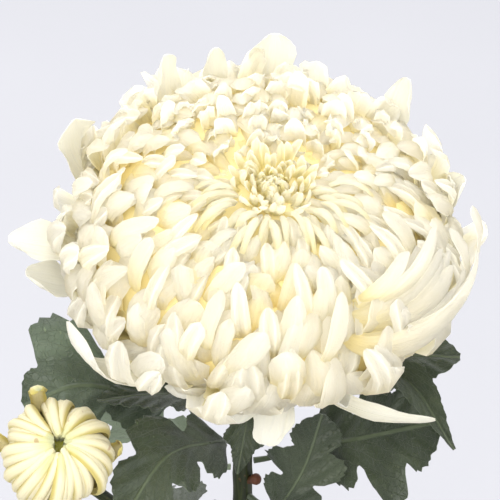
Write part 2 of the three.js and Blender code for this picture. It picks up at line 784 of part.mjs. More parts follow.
function leafGeometry({ from, midrib, width, face, fold, outline }, index) {
  const seat = stemAt(from);
  const first = vector(midrib[0]);
  const away = new THREE.Vector3(first.x - seat.x, first.y - seat.y, 0).normalize();
  const start = seat.clone().addScaledVector(away, stemRadius(from) * STEM_RIDGE + GAP + 0.34);
  const shoulder = start.clone().addScaledVector(away, 4);
  const line = new THREE.CatmullRomCurve3(
    [start, shoulder, ...midrib.map(vector)],
    false,
    "centripetal",
  );
  const up = vector(face).normalize();
  const rows = outline.map(([place, share], k) => {
    const u = BLADE_START + (1 - BLADE_START) * place;
    const centre = line.getPointAt(u);
    const along = line.getTangentAt(u);
    const side = new THREE.Vector3().crossVectors(along, up).normalize();
    const normal = new THREE.Vector3().crossVectors(side, along).normalize();
    const lift = Math.sin(fold * DEGREE);
    const spread = Math.cos(fold * DEGREE);
    const wave = 0.06 * width * Math.sin(k * 1.7 + index);
    const points = [-1, -0.5, 0, 0.5, 1].map((s) => {
      const w = Math.abs(s) * share * width * (1 + 0.16 * (jitter(k, index + s) - 0.5));
      return centre
        .clone()
        .addScaledVector(side, Math.sign(s) * w * spread)
        .addScaledVector(along, w * LOBE_SWEEP)
        .addScaledVector(normal, w * lift - (w * w * 0.12) / width + s * s * wave * share);
    });
    return { points, normal };
  });
  const stalk = new THREE.CatmullRomCurve3(
    [0, 0.08, 0.16, 0.24, STALK_END].map((u) => line.getPointAt(u)),
    false,
    "centripetal",
  );
  const radiusAt = (u) => STALK_RADIUS * (1 - 0.65 * u);
  const solids = [solidOf(bladeGeometry(rows, BLADE)), solidOf(ribbedTube(stalk, 5, 5, radiusAt, 0))];
  return geometryOf(fused(solids));
}

// Putting the pieces together

function seated(geometry, axis, centre) {
  return geometry.applyMatrix4(frameAlong(axis, centre));
}

addNode("vase", vaseGeometry(), glassFinish);
addNode("water", geometryOf(waterSolid()), waterFinish);
addNode("main_stem", geometryOf(stemSolid()), stemFinish);

addNode("bloom_petals", seated(geometryOf(bloomSolid()), BLOOM_AXIS, BLOOM_CENTRE), petalFinish);
addNode("bud_petals", seated(geometryOf(budSolid()), BUD_AXIS, BUD_CENTRE), budFinish);
addNode("bud_stem", geometryOf(budStemSolid()), stemFinish);
LEAVES.forEach((leaf, index) => addNode(leaf.name, leafGeometry(leaf, index), leafFinish));

export default part;
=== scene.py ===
"""A large incurved chrysanthemum with one side bud and its leaves, standing in a clear glass bottle vase.

Lengths are in millimetres until a mesh is made, in the frame of the solid model: the vase's foot is at the
origin, +Z is up and the bloom leans towards -Y.
"""
import math

import bpy
import numpy as np
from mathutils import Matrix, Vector


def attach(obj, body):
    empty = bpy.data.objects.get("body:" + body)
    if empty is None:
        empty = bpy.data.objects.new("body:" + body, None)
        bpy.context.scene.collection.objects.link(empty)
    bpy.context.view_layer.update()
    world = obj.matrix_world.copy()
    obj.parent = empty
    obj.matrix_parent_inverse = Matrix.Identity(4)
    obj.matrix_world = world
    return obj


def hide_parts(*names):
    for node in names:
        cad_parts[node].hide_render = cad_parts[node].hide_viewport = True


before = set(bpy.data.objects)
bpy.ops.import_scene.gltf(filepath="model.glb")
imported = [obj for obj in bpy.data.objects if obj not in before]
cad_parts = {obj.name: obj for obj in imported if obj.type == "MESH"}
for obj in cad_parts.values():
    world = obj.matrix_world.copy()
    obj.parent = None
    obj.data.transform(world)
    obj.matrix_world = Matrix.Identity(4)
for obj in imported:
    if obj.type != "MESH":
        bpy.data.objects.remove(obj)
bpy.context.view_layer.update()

MM = 0.001
BODY = "root"
SHARP_EDGE = math.radians(50)
GOLDEN_ANGLE = math.pi * (3 - math.sqrt(5))
UP = np.array([0, 0, 1.0])

# The bloom, as in the solid model
BLOOM_RADIUS = 69.5
BLOOM_CROWN = 35
CROWN_DIMPLE = 13
DIMPLE_RADIUS = 22
BLOOM_CENTRE = (4.5, -35, 393.5)
BLOOM_AXIS = (0.1, -0.37, 0.92)
CORE_Z = -8
CORE_SHARE = 0.84
ROUND_POWER = 0.85
LIFTED_SIDE = math.radians(308)
LIFT = 0.27
LIFT_SPREAD = math.radians(44)
CALYX_TOP = -27
CALYX_BOTTOM = -38
CALYX_RADIUS = 15

# The bud
BUD_RADIUS = 18.5
BUD_HEIGHT = 30
BUD_CENTRE = (-64, -75, 331)
BUD_AXIS = (0.1, -0.62, 0.78)
BUD_CALYX_RADIUS = 8
BUD_CALYX_DEPTH = 6

# The stems
STEM_FOOT = 4.2
STEM_TOP = 3.3
LEAF_NODES = (0.62, 0.66, 0.7, 0.735, 0.77, 0.8, 0.835, 0.87)
STUB_HEIGHT = 276
BUD_STEM_HEIGHT = 252
BUD_STEM_RADIUS = 2.1
GAP = 0.3

# The vase
VASE_FLOOR = 9
WATER_LEVEL = 132
OVERLAP = 0.04
VASE_SIDES = 96


def chance(last, first=0):
    """A function that draws a repeatable number in a span for each item from first up to last, the broken
    part of a large sine. The kind keeps one draw apart from another."""
    def own(kind, low=0, high=1):
        value = np.sin(np.arange(first, last) * 12.9898 + kind * 78.233) * 43758.5453
        return low + (high - low) * (value - np.floor(value))
    return own


def unit(vectors):
    """Each vector divided by its length."""
    vectors = np.asarray(vectors, float)
    return vectors / np.linalg.norm(vectors, axis=-1, keepdims=True)


def smooth(edge, other, value):
    """0 before edge, 1 after other, and an easy curve between them."""
    t = np.clip((value - edge) / (other - edge), 0, 1)
    return t * t * (3 - 2 * t)


def bell(value, width):
    """1 where value is 0, falling off to both sides as a bell of this width."""
    return np.exp(-((value / width) ** 2))


def stacked(*parts):
    """Points or UV places from their coordinates, each spread out to the same shape."""
    return np.stack(np.broadcast_arrays(*parts), -1)


def seated(points, axis, centre):
    """Points of a flower's own frame, set on its axis at its centre, with its x as near +X as it can be."""
    z = unit(axis)
    x = unit(np.array([1.0, 0, 0]) - z * z[0])
    return points @ np.array([x, np.cross(z, x), z]) + np.asarray(centre, float)


# Meshes

def tube_quads(rows, columns):
    """Quads of a closed skin: rings of an even number of points joined in order, with both ends closed
    across, from each point to the one opposite."""
    row = np.arange(rows - 1)[:, None] * columns
    column = np.arange(columns)[None, :]
    after = (column + 1) % columns
    side = np.stack([row + column, row + after, row + columns + after, row + columns + column], -1)
    near = np.arange(columns // 2 - 1)
    end = np.stack([near, near + 1, columns - 2 - near, columns - 1 - near], -1)
    return np.concatenate([side.reshape(-1, 4), end[:, ::-1], end + (rows - 1) * columns])


def placed(name, data):
    """A new object of this data, in the scene."""
    thing = bpy.data.objects.new(name, data)
    bpy.context.scene.collection.objects.link(thing)
    return thing


class Skins:
    """Closed skins gathered for one mesh, with a UV place and named values at each point."""

    def __init__(self):
        self.points, self.quads, self.uvs, self.values, self.used = [], [], [], {}, 0

    def add(self, points, uv, **values):
        """Adds a skin of rings of points, shaped (rows, columns, 3), or several with their count first."""
        *counts, rows, columns, _ = points.shape
        shape = (*counts, rows, columns)
        starts = np.arange(self.used, self.used + math.prod(shape), rows * columns)
        self.used += math.prod(shape)
        self.quads.append((tube_quads(rows, columns) + starts[:, None, None]).reshape(-1, 4))
        self.points.append(points.reshape(-1, 3))
        self.uvs.append(np.broadcast_to(uv, (*shape, 2)).reshape(-1, 2))
        for key, value in values.items():
            self.values.setdefault(key, []).append(np.broadcast_to(value, shape).ravel())
        return self

    def piece(self, name, material, slot, node):
        """Makes one mesh object of the skins, in metres, riding on the model's body in a solid's place."""
        points = (np.concatenate(self.points) * MM).astype(np.float32)
        quads = np.concatenate(self.quads).astype(np.int32)
        mesh = bpy.data.meshes.new(name)
        mesh.vertices.add(len(points))
        mesh.vertices.foreach_set("co", points.ravel())
        mesh.loops.add(quads.size)
        mesh.loops.foreach_set("vertex_index", quads.ravel())
        mesh.polygons.add(len(quads))
        mesh.polygons.foreach_set("loop_start", np.arange(len(quads), dtype=np.int32) * 4)
        mesh.update(calc_edges=True)
        at_corners = np.concatenate(self.uvs)[quads.ravel()].astype(np.float32)
        mesh.uv_layers.new(name="surface").data.foreach_set("uv", at_corners.ravel())
        for key, value in self.values.items():
            attribute = mesh.attributes.new(key, "FLOAT", "POINT")
            attribute.data.foreach_set("value", np.concatenate(value).astype(np.float32))
        mesh.shade_smooth()
        mesh.set_sharp_from_angle(angle=SHARP_EDGE)
        mesh.materials.append(material)
        piece = placed(name, mesh)
        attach(piece, BODY)
        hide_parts(node)


# Materials

class Nodes:
    """A short hand for building one material's nodes."""

    def __init__(self, name):
        self.material = bpy.data.materials.new(name)
        self.material.use_nodes = True
        self.tree = self.material.node_tree
        self.shader = self.tree.nodes["Principled BSDF"]
        self.place = self.add("ShaderNodeTexCoord").outputs["Object"]
        self.surface = self.add("ShaderNodeUVMap", uv_map="surface").outputs[0]

    def add(self, kind, **settings):
        node = self.tree.nodes.new(kind)
        for key, value in settings.items():
            setattr(node, key, value)
        return node

    def feed(self, socket, value):
        """Links a socket to another's value, or sets it to a number, or to a colour or scale of three."""
        if isinstance(value, bpy.types.NodeSocket):
            self.tree.links.new(value, socket)
        elif isinstance(value, tuple):
            socket.default_value = (*value, 1)[:len(socket.default_value)]
        else:
            socket.default_value = value

    def give(self, node, **sockets):
        """Feeds a node's sockets, named with _ for each space."""
        for key, value in sockets.items():
            self.feed(node.inputs[key.replace("_", " ")], value)
        return node.outputs

    def attribute(self, name):
        return self.add("ShaderNodeAttribute", attribute_name=name).outputs["Fac"]

    def split(self, vector):
        """A vector's X and Y."""
        return self.give(self.add("ShaderNodeSeparateXYZ"), Vector=vector)[:2]

    def stretched(self, vector, x, y):
        return self.give(self.add("ShaderNodeMapping"), Vector=vector, Scale=(x, y, 1))[0]

    def noise(self, vector, scale, detail=3, rough=0.5):
        node = self.add("ShaderNodeTexNoise")
        return self.give(node, Vector=vector, Scale=scale, Detail=detail, Roughness=rough)["Fac"]

    def math(self, operation, *values):
        node = self.add("ShaderNodeMath", operation=operation)
        for socket, value in zip(node.inputs, values):
            self.feed(socket, value)
        return node.outputs[0]

    def from_middle(self, value):
        """How far value is from a half, either way."""
        return self.math("ABSOLUTE", self.math("SUBTRACT", value, 0.5))

    def swayed(self, value, by, amount):
        """value moved up and down by a noise, by half the amount each way."""
        return self.math("MULTIPLY_ADD", self.math("SUBTRACT", by, 0.5), amount, value)

    def between(self, value, low, high, start=0, end=1):
        """Carries value from the span low to high onto the span start to end, smoothly."""
        node = self.add("ShaderNodeMapRange", interpolation_type="SMOOTHSTEP")
        return self.give(node, Value=value, From_Min=low, From_Max=high, To_Min=start, To_Max=end)["Result"]

    def ramp(self, value, stops):
        node = self.add("ShaderNodeValToRGB")
        self.feed(node.inputs[0], value)
        line = node.color_ramp
        while len(line.elements) < len(stops):
            line.elements.new(0.5)
        for element, (spot, colour) in zip(line.elements, stops):
            element.position = spot
            element.color = (*colour, 1)
        return node.outputs[0]

    def mix(self, share, first, second):
        node = self.add("ShaderNodeMix", data_type="RGBA")
        for index, value in ((0, share), (6, first), (7, second)):
            self.feed(node.inputs[index], value)
        return node.outputs[2]

    def bump(self, height, strength, distance):
        """Tilts the shader's normal by a height; distance is in metres."""
        bump = self.give(self.add("ShaderNodeBump"), Strength=strength, Distance=distance, Height=height)
        self.give(self.shader, Normal=bump[0])
        return bump[0]

    def let_light_through(self, share, colour, normal):
        """Mixes the shader with a translucent one, as in a thin petal or leaf."""
        through = self.give(self.add("ShaderNodeBsdfTranslucent"), Color=colour, Normal=normal)
        both = self.add("ShaderNodeMixShader")
        for socket, value in zip(both.inputs, (share, self.shader.outputs[0], through[0])):
            self.feed(socket, value)
        self.give(self.tree.nodes["Material Output"], Surface=both.outputs[0])


def petal_material(name, stops, rib_shade, through, gloss=0.3, spotted_with_groove_shade=False):
    """Petal: the stops' colours from root to tip, drifting in patches and petal by petal, with fine ribs
    along it and a paler outer face. A spotted one has a few brown spots too, and darker olive edges,
    painted shade in the grooves between the bud's ribs."""
    n = Nodes(name)
    across, along = n.split(n.surface)
    drift = n.swayed(along, n.noise(n.place, scale=90), amount=0.22)
    drift = n.swayed(drift, n.attribute("own_tone"), amount=0.16)
    outer = n.math("MULTIPLY", n.attribute("outer_face"), 0.2 if spotted_with_groove_shade else 0.35)
    pale = n.mix(outer, n.ramp(drift, stops), (0.96, 0.94, 0.89))
    ribs = n.noise(n.stretched(n.surface, 9, 0.7), scale=1.6, detail=2, rough=0.6)
    colour = n.mix(n.between(ribs, 0.35, 0.75, end=rib_shade), pale, (0.9, 0.86, 0.66))
    if spotted_with_groove_shade:
        # Darker olive edges of each rib: painted shade in the grooves between the bud's ribs.
        edge = n.between(n.from_middle(across), 0.16, 0.42, end=0.85)
        colour = n.mix(edge, colour, (0.6, 0.5, 0.11))
        spots = n.between(n.noise(n.place, scale=210, detail=2), 0.7, 0.76)
        colour = n.mix(n.math("MULTIPLY", spots, 0.55), colour, (0.36, 0.16, 0.05))
    rough = n.between(ribs, 0.2, 0.8, 0.42, 0.6)
    sheen = 0.4 * gloss
    n.give(
        n.shader, Base_Color=colour, Roughness=rough, Specular_IOR_Level=gloss, Sheen_Weight=sheen,
        Sheen_Roughness=0.5,
    )
    height = n.math("MULTIPLY_ADD", n.noise(n.place, scale=700), 0.25, ribs)
    normal = n.bump(height, strength=0.5, distance=0.001)
    n.let_light_through(through, n.mix(0.3, colour, (0.99, 0.975, 0.88)), normal)
    return n.material


def leaf_material(name, dark, light, back):
    """Leaf: dark and light green in patches with a paler net of veins, and a paler underside."""
    n = Nodes(name)
    across, along = n.split(n.surface)
    off = n.from_middle(across)
    slanted = n.swayed(n.math("MULTIPLY_ADD", off, -1.5, along), n.noise(n.surface, scale=9), amount=0.12)
    step = n.math("FRACT", n.math("MULTIPLY", slanted, 6))
    side_vein = n.between(n.from_middle(step), 0.035, 0)
    midrib = n.between(off, 0.022, 0.007)
    cells = n.add("ShaderNodeTexVoronoi", feature="DISTANCE_TO_EDGE")
    small = n.give(cells, Vector=n.stretched(n.surface, 1, 1.6), Scale=22)
    net = n.between(small["Distance"], 0.05, 0, end=0.35)
    vein = n.math("MAXIMUM", n.math("MAXIMUM", midrib, n.math("MULTIPLY", side_vein, 0.75)), net)
    blade = n.mix(n.between(n.noise(n.place, scale=55, detail=4), 0.3, 0.7), dark, light)
    upper = n.mix(n.math("MULTIPLY", vein, 0.34), blade, (0.13, 0.165, 0.08))
    lower = n.mix(n.math("MULTIPLY", vein, 0.5), back, (0.22, 0.27, 0.15))
    colour = n.mix(n.attribute("under_face"), upper, lower)
    rough = n.between(n.noise(n.place, scale=240), 0.3, 0.7, 0.36, 0.52)
    n.give(
        n.shader, Base_Color=colour, Roughness=rough, Specular_IOR_Level=0.38, Sheen_Weight=0.1,
        Sheen_Roughness=0.6,
    )
    grain = n.math("MULTIPLY", n.noise(n.place, scale=420), 0.35)
    normal = n.bump(n.math("MULTIPLY_ADD", vein, -0.8, grain), strength=0.7, distance=0.0008)
    n.let_light_through(0.1, n.mix(0.5, colour, (0.16, 0.24, 0.04)), normal)
    return n.material


def stem_material():
    """Stem: dark green with paler streaks, a few brown specks, and red where a shoot was pinched off."""
    n = Nodes("stem_green")
    streak = n.noise(n.stretched(n.surface, 26, 2), scale=1)
    green = n.mix(n.between(streak, 0.35, 0.7), (0.008, 0.012, 0.003), (0.024, 0.032, 0.008))
    speck = n.between(n.noise(n.place, scale=600, detail=2), 0.66, 0.74)
    toned = n.mix(n.math("MULTIPLY", speck, 0.5), green, (0.1, 0.06, 0.025))
    colour = n.mix(n.math("MULTIPLY", n.attribute("reddish"), 0.8), toned, (0.12, 0.035, 0.018))
    rough = n.between(streak, 0.2, 0.8, 0.4, 0.62)
    n.give(n.shader, Base_Color=colour, Roughness=rough, Specular_IOR_Level=0.25)
    height = n.math("MULTIPLY_ADD", n.noise(n.place, scale=900), 0.4, streak)
    n.bump(height, strength=0.35, distance=0.0004)
    return n.material


def clear_material(name, colour, ior, waves, strength):
    """Clear glass or water: see-through, with a very slight unevenness of its surface."""
    n = Nodes(name)
    haze = n.between(n.noise(n.place, scale=waves * 4), 0.3, 0.8, end=0.03)
    n.give(n.shader, Base_Color=colour, Transmission_Weight=1, IOR=ior, Roughness=haze)
    n.bump(n.noise(n.place, scale=waves, detail=1), strength, distance=0.0008)
    return n.material


def floor_material():
    """A pale matt floor with a barely seen mottle."""
    n = Nodes("studio_floor")
    tone = n.between(n.noise(n.place, scale=3, detail=2), 0.3, 0.7)
    pale = n.mix(tone, (0.405, 0.405, 0.422), (0.415, 0.415, 0.432))
    n.give(n.shader, Base_Color=pale, Roughness=0.9, Specular_IOR_Level=0.1)
    return n.material


# Petal colours from root to tip
BLOOM_STOPS = [
    (0, (0.98, 0.86, 0.38)), (0.35, (0.98, 0.92, 0.66)), (0.6, (0.98, 0.955, 0.88)),
    (0.8, (0.98, 0.97, 0.94)), (1, (0.98, 0.972, 0.96)),
]
FLORET_STOPS = [
    (0, (0.8, 0.78, 0.14)), (0.1, (0.98, 0.86, 0.28)), (0.3, (0.985, 0.9, 0.46)),
    (0.55, (0.98, 0.93, 0.64)), (0.85, (0.98, 0.955, 0.85)),
]
BUD_STOPS = [
    (0, (0.52, 0.5, 0.16)), (0.3, (0.78, 0.69, 0.3)), (0.6, (0.8, 0.72, 0.42)),
    (0.84, (0.8, 0.73, 0.42)), (0.93, (0.62, 0.6, 0.18)), (1, (0.22, 0.25, 0.03)),
]
# The loose petals' colours: a greyer, darker copy of the bloom's, painted shade.
THIN_SHADED_STOPS = [
    (0, (0.93, 0.82, 0.42)), (0.4, (0.88, 0.84, 0.66)), (0.75, (0.82, 0.8, 0.71)), (1, (0.8, 0.79, 0.72)),
]
CORE_STOPS = [
    (0, (0.9, 0.75, 0.34)), (0.3, (0.91, 0.78, 0.4)), (0.9, (0.93, 0.82, 0.46)), (1, (0.97, 0.8, 0.26)),
]
HEART_STOPS = [(0, (0.24, 0.24, 0.015)), (1, (0.45, 0.4, 0.03))]

petal_finish = petal_material("petal_cream", BLOOM_STOPS, rib_shade=0.16, through=0.86)
core_finish = petal_material("bloom_core_gold", CORE_STOPS, rib_shade=0.1, through=0.2)
# The loose petals' finish: the petal finish with painted shade in its greyer, darker colours.
shaded_thin_petal_finish = petal_material("petal_thin_painted_shade", THIN_SHADED_STOPS, rib_shade=0.3, through=0.5)
floret_finish = petal_material("floret_green_yellow", FLORET_STOPS, rib_shade=0.2, through=0.86)
# The bud's finish has painted shade in the grooves between its ribs, beside its brown spots.
bud_finish = petal_material("bud_pale_yellow", BUD_STOPS, rib_shade=0.35, through=0.35, spotted_with_groove_shade=True)
bud_heart_finish = petal_material("bud_heart_olive", HEART_STOPS, rib_shade=0.2, through=0.1, gloss=0.04)
leaf_finish = leaf_material("leaf_dark", (0.018, 0.028, 0.011), (0.04, 0.054, 0.025), (0.1, 0.13, 0.065))
# leaf_sage_painted_light: a paler copy of the dark leaf finish for the upper left leaf, painted light where
# its light makes it look paler.
lit_sage_leaf_finish = leaf_material("leaf_sage_painted_light", (0.045, 0.063, 0.036), (0.095, 0.128, 0.078), (0.14, 0.18, 0.1))
# leaf_pale_painted_light: a still paler copy for the leaf behind the bud, painted light where light through
# it makes it look paler.
lit_pale_leaf_finish = leaf_material("leaf_pale_painted_light", (0.12, 0.15, 0.085), (0.2, 0.245, 0.15), (0.2, 0.25, 0.165))
stem_finish = stem_material()
glass_finish = clear_material("vase_glass", (0.985, 0.995, 0.99), ior=1.5, waves=14, strength=0.05)
water_finish = clear_material("vase_water", (0.985, 0.995, 0.995), ior=1.33, waves=30, strength=0.02)


# Petals: each kind is a set of measures, either one number or a column with one number per petal

PLAIN_PETAL = {
    "claw": 0.4,  # its width at the root, as a share of its full width
    "widest": 0.6,  # where along it the full width is reached
    "blunt": 2,  # how squarely its tip closes, from "round" onwards
    "crease": 0,  # the depth of its keel, beside the "cup" of its edges
    "ribbed": 0,  # the height of its three ribs
    "wave": 0.1,  # how much its sides rise and fall in turn
    "ripple": 1.4,  # how often they do
    "frill": 0,  # how much its edges do
    "ragged": 0,  # how uneven its outline is
    "twist": 0,  # how far it rolls about its own line, in radians
    "wrapped": 0,  # 0 where it faces up, and 1 where it lies on the bloom's round
    "start": 0,  # the share of its line that is left out at the root
    "tone": 0,  # how much paler it is, or more golden below 0
}
THIN_EDGE = 0.16
THICK_MIDDLE = 0.3


def in_row(count):
    """For count petals, their even shares from 0 to 1 and their own draws."""
    return (np.arange(count) + 0.5) / count, chance(count)


def petals(**measures):
    """Petals with these measures and plain ones for the rest; each list becomes a column."""
    known = PLAIN_PETAL | measures
    return {key: np.reshape(value, (-1, 1)) if np.ndim(value) else value for key, value in known.items()}


def bloom_round(polar, share):
    """The bloom's round at an angle from its axis in radians, as radius and height: a squared ellipse whose
    crown sinks in the middle, drawn in towards its centre by share."""
    sine, cosine = (np.sign(way) * np.abs(way) ** ROUND_POWER for way in (np.sin(polar), np.cos(polar)))
    radius = BLOOM_RADIUS * sine * share
    dimple = CROWN_DIMPLE * bell(radius, DIMPLE_RADIUS) * (polar < math.pi / 2)
    rise = (BLOOM_CROWN - CORE_Z) * np.maximum(cosine, 0) * share
    fall = (CORE_Z - CALYX_TOP) * np.maximum(-cosine, 0) * share
    return radius, CORE_Z + rise - fall - dimple


def crown_height(radius):
    """The height of the bloom's round above a radius near its axis."""
    polar = np.arcsin((np.asarray(radius) / BLOOM_RADIUS) ** (1 / ROUND_POWER))
    return bloom_round(polar, 1)[1]


def climbing_line(petal, v):
    """A petal's line in the half-plane of its azimuth: it climbs along the round, from its root's share of
    the round to its reach, and the hood draws its tip back in."""
    share = petal["reach"] - (petal["reach"] - petal["root"]) * (1 - v) ** petal["rise"]
    polar = petal["polar"] + petal["climb"] * (1 - v) ** petal["bend"]
    return bloom_round(polar, share - petal["hood"] * v ** 6)


def loose_line(petal, v):
    """A loose petal's line: a cubic curve from the receptacle to its tip, with an angle at each end."""
    base = np.stack(np.broadcast_arrays(petal["base_radius"], petal["base_height"]))
    tip = np.stack(np.broadcast_arrays(petal["tip_radius"], petal["tip_height"]))
    span = np.hypot(*(tip - base))
    first = base + span * 0.45 * np.array([np.cos(petal["base_angle"]), np.sin(petal["base_angle"])])
    second = tip - span * 0.4 * np.array([np.cos(petal["tip_angle"]), np.sin(petal["tip_angle"])])
    weights = [(1 - v) ** 3, 3 * v * (1 - v) ** 2, 3 * v * v * (1 - v), v ** 3]
    return tuple(sum(w * p[i] for w, p in zip(weights, (base, first, second, tip))) for i in (0, 1))


def floret_line(petal, v):
    """A floret's line: straight up from inside the crown, bending over inwards at its tip."""
    radius = petal["spread"] * (1.1 - 0.25 * v - petal["lean"] * v ** 3)
    return radius, petal["foot"] + (petal["top"] - petal["foot"]) * (v - 0.12 * v ** 4)


def crater_line(petal, v):
    """A crater petal's line: out from near the axis and up the crater's side, its tip nodding back in."""
    radius = 1 + (petal["spread"] - 1) * v ** 0.8 - petal["lean"] * v ** 5
    return radius, petal["foot"] + (petal["top"] - petal["foot"]) * v ** 1.7


def ray_line(petal, v):
    """A ray's line: in over the near side of the crown towards the crater, its tip dipping in."""
    radius = petal["spread"] + petal["length"] * (1 - v)
    return radius, crown_height(radius) + petal["above"] - 3 * v ** 6 - 7 * (1 - v) ** 3


def bud_line(petal, v):
    """A rib's line: up from the foot, round the bud's side, over its crown and down into the small hole."""
    angle = np.clip(math.pi * (-0.5 + 1.12 * v), -1.57, 1.57)
    fold = np.clip((v - 0.86) / 0.14, 0, 1)
    radius = BUD_RADIUS * petal["reach"] * (petal["hole"] + 0.84 * np.cos(angle) ** 0.8)
    height = BUD_HEIGHT * 0.49 * petal["reach"] * np.sin(angle) - 5.5 * fold ** 2
    return radius * (1 - 0.25 * fold) + 0.6, height


def petal_skin(petal, line, along, across):
    """Closed petals as rings carried along their lines, shaped (count, along, 2 * across, 3), with their UV
    places and outer faces.

    At v, from 0 at the root to 1 at the tip, the centre is the line's radius and height, turned about the
    axis by the azimuth and by the sweep times v squared. A ring is a shallow arc of the petal's width, set
    square to that path. Its edges curl in by the cup and rise and fall by the wave and frill, its middle
    sinks by the crease, and its outer and inner face lie a hair apart. The width grows from the claw, and
    closes as a round at the tip."""
    v = petal["start"] + (1 - petal["start"]) * (1 - np.linspace(1, 0, along)[None, :] ** 1.6)
    azimuth = petal["azimuth"]

    def path(v):
        radius, height = line(petal, v)
        turn = azimuth + petal["sweep"] * v ** 2
        return stacked(radius * np.cos(turn), radius * np.sin(turn), height)

    centre = path(v)
    ahead = unit(path(np.clip(v + 0.01, 0, 1)) - path(np.clip(v - 0.01, 0, 1)) + 1e-9)
    turn = azimuth + petal["sweep"] * v ** 2
    out = stacked(np.cos(turn), np.sin(turn), 0)
    upright = out * ahead[..., 2:] - UP * np.sum(ahead * out, -1, keepdims=True)
    lying = unit(centre - [0, 0, CORE_Z])
    side = unit(np.cross(ahead, upright * (1 - petal["wrapped"]) + lying * petal["wrapped"]))
    face = np.cross(side, ahead)
    roll = (petal["twist"] * v)[..., None]
    side, face = side * np.cos(roll) - face * np.sin(roll), face * np.cos(roll) + side * np.sin(roll)

    grown = petal["claw"] + (1 - petal["claw"]) * smooth(0, petal["widest"], v)
    closed = np.clip((v - petal["round"]) / (1.004 - petal["round"]), 0, 1)
    closing = np.sqrt(np.clip(1 - closed ** petal["blunt"], 0, 1))
    half = (petal["width"] / 2 * grown * closing)[..., None]

    place = np.linspace(-1, 1, across)
    v = v[..., None]
    own = {key: np.asarray(value, float)[..., None] for key, value in petal.items()}
    cup = own["cup"] * (0.55 + 0.6 * v)
    wave = own["wave"] * np.sin(own["ripple"] * v * 6 + own["azimuth"] * 7)
    frill = own["frill"] * np.sin(v * 19 + own["azimuth"] * 3) * v ** 2
    ragged = own["ragged"] * np.sin(v * 37 + 9 * place + own["azimuth"] * 5) * v ** 2
    arc = place * (1 - 0.25 * cup * place ** 2) * half * (1 + ragged)
    curl = wave * place * np.abs(place) - 1.1 * cup * place ** 2 + frill * place ** 2 * np.sign(place + 0.3)
    rib = own["ribbed"] * np.cos(place * math.pi * 3) * np.minimum(1, half / 3)
    height = (curl - own["crease"] * bell(place, 0.22)) * half + rib
    thick = THIN_EDGE + THICK_MIDDLE * (1 - np.abs(place)) * np.minimum(1, half / 2)

    middle = centre[:, :, None] + side[:, :, None] * arc[..., None]
    upper, lower = (middle + face[:, :, None] * (height + way * thick / 2)[..., None] for way in (1, -1))
    spot = np.concatenate([place, place[::-1]]) * 0.5 + 0.5
    return np.concatenate([upper, lower[:, :, ::-1]], 2), stacked(spot, v), np.repeat([1.0, 0.0], across)


def petal_piece(name, groups, material, slot, node, axis, centre):
    """One mesh of groups of petals, each group (petals, line, points along, points across), and its petals
    each with their own tone."""
    skins = Skins()
    for petal, line, along, across in groups:
        points, uv, outer = petal_skin(petal, line, along, across)
        tone = chance(len(points))(31) + petal["tone"]
        skins.add(seated(points, axis, centre), uv, outer_face=outer, own_tone=tone[:, None, None])
    skins.piece(name, material, slot, node)


# The bloom's petals

def spiral_petals(count, first, last, lowest, crowding, hugging, turned_on=0, deeper=0, wider=1, tone=0):
    """The petals from first up to last of a golden-angle spiral of count petals, which runs from the crown
    down to the lowest angle.

    share runs from 0 at the crown to 1 at the lowest petal, and crowding packs them towards the crown. Each
    petal climbs to its place from further down, and hugs the round for longer with hugging. Those on the far
    side climb less and are wider, and those on the lifted side end higher up."""
    number = np.arange(first, last)
    share = (number + 0.5) / count
    own = chance(last, first)
    azimuth = number * GOLDEN_ANGLE + np.radians(own(2, -4, 4))
    from_lifted = np.angle(np.exp(1j * (azimuth - LIFTED_SIDE)))
    polar = np.radians(lowest) * (1 - LIFT * bell(from_lifted, LIFT_SPREAD)) * share ** crowding
    outer_zone = np.maximum(hugging, smooth(0.08, 0.5, share))
    far = (1 - hugging) * smooth(-0.1, 0.9, np.sin(azimuth))
    width = (3 + 7.4 * (polar / (math.pi / 2)) ** 0.8) * own(5, 0.85, 1.2)
    return petals(
        azimuth=azimuth + turned_on,
        polar=polar + np.radians(own(3, -4, 4) * share),
        climb=np.radians((20 + 44 * share * outer_zone) * (1 - 0.72 * far)),
        bend=own(8, 1, 1.3),
        root=own(9, 0.62, 0.72) - 0.1 * far,
        reach=1.02 + own(1, -0.095, 0.095) * (0.35 + 0.65 * share) + 0.02 * far - deeper,
        rise=own(17, 0.95, 1.45) + share * outer_zone * (1 - 0.7 * far),
        hood=own(10, -0.005, 0.125) + 0.05 * np.clip(1 - share / 0.4, 0, 1),
        width=width * (1 + (0.3 + 0.5 * np.clip(1 - 2 * share, 0, 1)) * far) * wider,
        cup=own(11, 0.4, 0.65) - 0.15 * share,
        sweep=np.radians(own(6, -10.8, 13.2)),
        twist=np.radians(own(7, -30, 30) * share),
        claw=0.3, widest=own(12, 0.4, 0.7), round=own(13, 0.62, 0.9),
        wave=own(14, 0, 0.08) * share, ripple=own(15, 0.8, 1.8),
        crease=own(16, 0.12, 0.34), ragged=0.06, tone=tone,
    )


def centre_petals(count, widest, lean, broad, tone):
    """Small narrow petals that fill the crater in the crown, by the same golden angle."""
    share, own = in_row(count)
    spread = widest * np.sqrt(share)
    top = crown_height(spread) + own(63, -0.75, 1.75) + 5 * bell(spread, 12)
    return petals(
        azimuth=np.arange(count) * GOLDEN_ANGLE + own(61, 0, 0.5), spread=spread,
        lean=lean * own(62, 0.2, 1.2), top=top, foot=top - 7 - 4 * share,
        width=broad * (own(64, 0.7, 1.05) + 0.25 * share), cup=own(65, 0.5, 0.8),
        twist=np.radians(own(66, -35, 35)), sweep=own(67, -0.2, 0.3), widest=0.75, round=0.84, tone=tone,
    )


